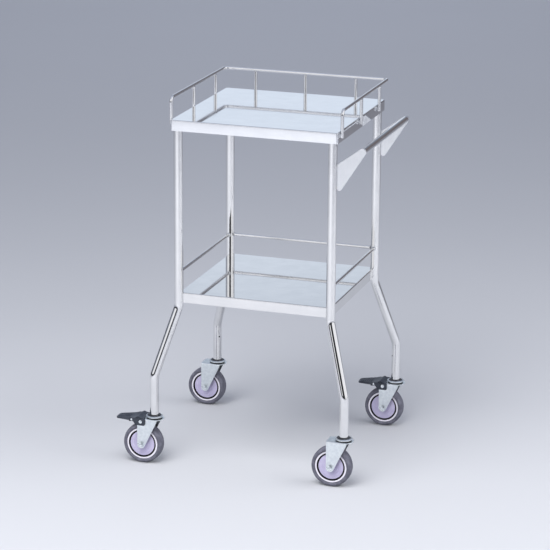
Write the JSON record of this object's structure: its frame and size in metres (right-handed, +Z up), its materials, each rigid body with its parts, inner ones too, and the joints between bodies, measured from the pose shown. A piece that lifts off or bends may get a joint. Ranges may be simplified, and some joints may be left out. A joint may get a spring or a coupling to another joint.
{
  "type": "instrument cart",
  "caption": "Two-shelf stainless instrument cart with a guard rail, splayed tube legs, a side push handle and braked swivel casters.",
  "frame": {"origin": "bottom centre of the overall box, on the floor that the wheels stand on", "axes": "+X towards the side with the push handle, +Y away from the user at the open front, +Z up"},
  "size_m": [0.6158, 0.5144, 0.919],
  "materials": {
    "polished_stainless": "mirror polished",
    "satin_stainless": "satin",
    "plated_steel": "bright plated",
    "tyre_rubber": "matt grey rubber",
    "hub_nylon": "moulded, lavender grey",
    "pedal_nylon": "moulded, dark slate",
    "dark_race": "dark seal"
  },
  "bodies": {
    "frame": {"upper_shelf": "polished_stainless", "lower_shelf": "polished_stainless", "leg_front_left": "polished_stainless", "leg_front_right": "polished_stainless", "leg_back_left": "polished_stainless", "leg_back_right": "polished_stainless", "upper_guard_rail": "polished_stainless", "guard_post_left_middle": "polished_stainless", "guard_post_left_back": "polished_stainless", "guard_post_right_middle": "polished_stainless", "guard_post_right_back": "polished_stainless", "guard_post_back_left": "polished_stainless", "guard_post_back_middle": "polished_stainless", "guard_post_back_right": "polished_stainless", "lower_rail_left": "polished_stainless", "lower_rail_back": "polished_stainless", "lower_rail_right": "polished_stainless", "handle_bracket_front": "satin_stainless", "handle_bracket_back": "satin_stainless", "handle_bar": "polished_stainless", "swivel_head_front_left": "plated_steel", "swivel_race_front_left": "dark_race", "swivel_head_front_right": "plated_steel", "swivel_race_front_right": "dark_race", "swivel_head_back_left": "plated_steel", "swivel_race_back_left": "dark_race", "swivel_head_back_right": "plated_steel", "swivel_race_back_right": "dark_race"},
    "caster_front_left": {"fork_front_left": "plated_steel", "axle_bolt_front_left": "plated_steel", "axle_nut_front_left": "plated_steel", "axle_sleeve_front_left": "plated_steel", "brake_pin_front_left": "plated_steel"},
    "wheel_front_left": {"hub_front_left": "hub_nylon", "tyre_front_left": "tyre_rubber"},
    "pedal_front_left": {"brake_pedal_front_left": "pedal_nylon", "brake_shoe_front_left": "tyre_rubber"},
    "caster_front_right": {"fork_front_right": "plated_steel", "axle_bolt_front_right": "plated_steel", "axle_nut_front_right": "plated_steel", "axle_sleeve_front_right": "plated_steel"},
    "wheel_front_right": {"hub_front_right": "hub_nylon", "tyre_front_right": "tyre_rubber"},
    "caster_back_left": {"fork_back_left": "plated_steel", "axle_bolt_back_left": "plated_steel", "axle_nut_back_left": "plated_steel", "axle_sleeve_back_left": "plated_steel"},
    "wheel_back_left": {"hub_back_left": "hub_nylon", "tyre_back_left": "tyre_rubber"},
    "caster_back_right": {"fork_back_right": "plated_steel", "axle_bolt_back_right": "plated_steel", "axle_nut_back_right": "plated_steel", "axle_sleeve_back_right": "plated_steel", "brake_pin_back_right": "plated_steel"},
    "wheel_back_right": {"hub_back_right": "hub_nylon", "tyre_back_right": "tyre_rubber"},
    "pedal_back_right": {"brake_pedal_back_right": "pedal_nylon", "brake_shoe_back_right": "tyre_rubber"}
  },
  "joints": [
    {"name": "swivel_front_left", "type": "hinge", "parent": "frame", "child": "caster_front_left", "pos_m": [-0.21187, -0.2274, 0.1177], "axis": [0, 0, 1], "continuous": true},
    {"name": "spin_front_left", "type": "hinge", "parent": "caster_front_left", "child": "wheel_front_left", "pos_m": [-0.23987, -0.2274, 0.05], "axis": [0, 1, 0], "continuous": true},
    {"name": "brake_front_left", "type": "hinge", "parent": "caster_front_left", "child": "pedal_front_left", "pos_m": [-0.23987, -0.2274, 0.1107], "axis": [0, -1, 0], "range_deg": [0, 22]},
    {"name": "swivel_front_right", "type": "hinge", "parent": "frame", "child": "caster_front_right", "pos_m": [0.27613, -0.2274, 0.1177], "axis": [0, 0, 1], "continuous": true},
    {"name": "spin_front_right", "type": "hinge", "parent": "caster_front_right", "child": "wheel_front_right", "pos_m": [0.24813, -0.2274, 0.05], "axis": [0, 1, 0], "continuous": true},
    {"name": "swivel_back_left", "type": "hinge", "parent": "frame", "child": "caster_back_left", "pos_m": [-0.21187, 0.2306, 0.1177], "axis": [0, 0, 1], "continuous": true},
    {"name": "spin_back_left", "type": "hinge", "parent": "caster_back_left", "child": "wheel_back_left", "pos_m": [-0.23987, 0.2306, 0.05], "axis": [0, 1, 0], "continuous": true},
    {"name": "swivel_back_right", "type": "hinge", "parent": "frame", "child": "caster_back_right", "pos_m": [0.27613, 0.2306, 0.1177], "axis": [0, 0, 1], "continuous": true},
    {"name": "spin_back_right", "type": "hinge", "parent": "caster_back_right", "child": "wheel_back_right", "pos_m": [0.24813, 0.2306, 0.05], "axis": [0, 1, 0], "continuous": true},
    {"name": "brake_back_right", "type": "hinge", "parent": "caster_back_right", "child": "pedal_back_right", "pos_m": [0.24813, 0.2306, 0.1107], "axis": [0, -1, 0], "range_deg": [0, 22]}
  ]
}
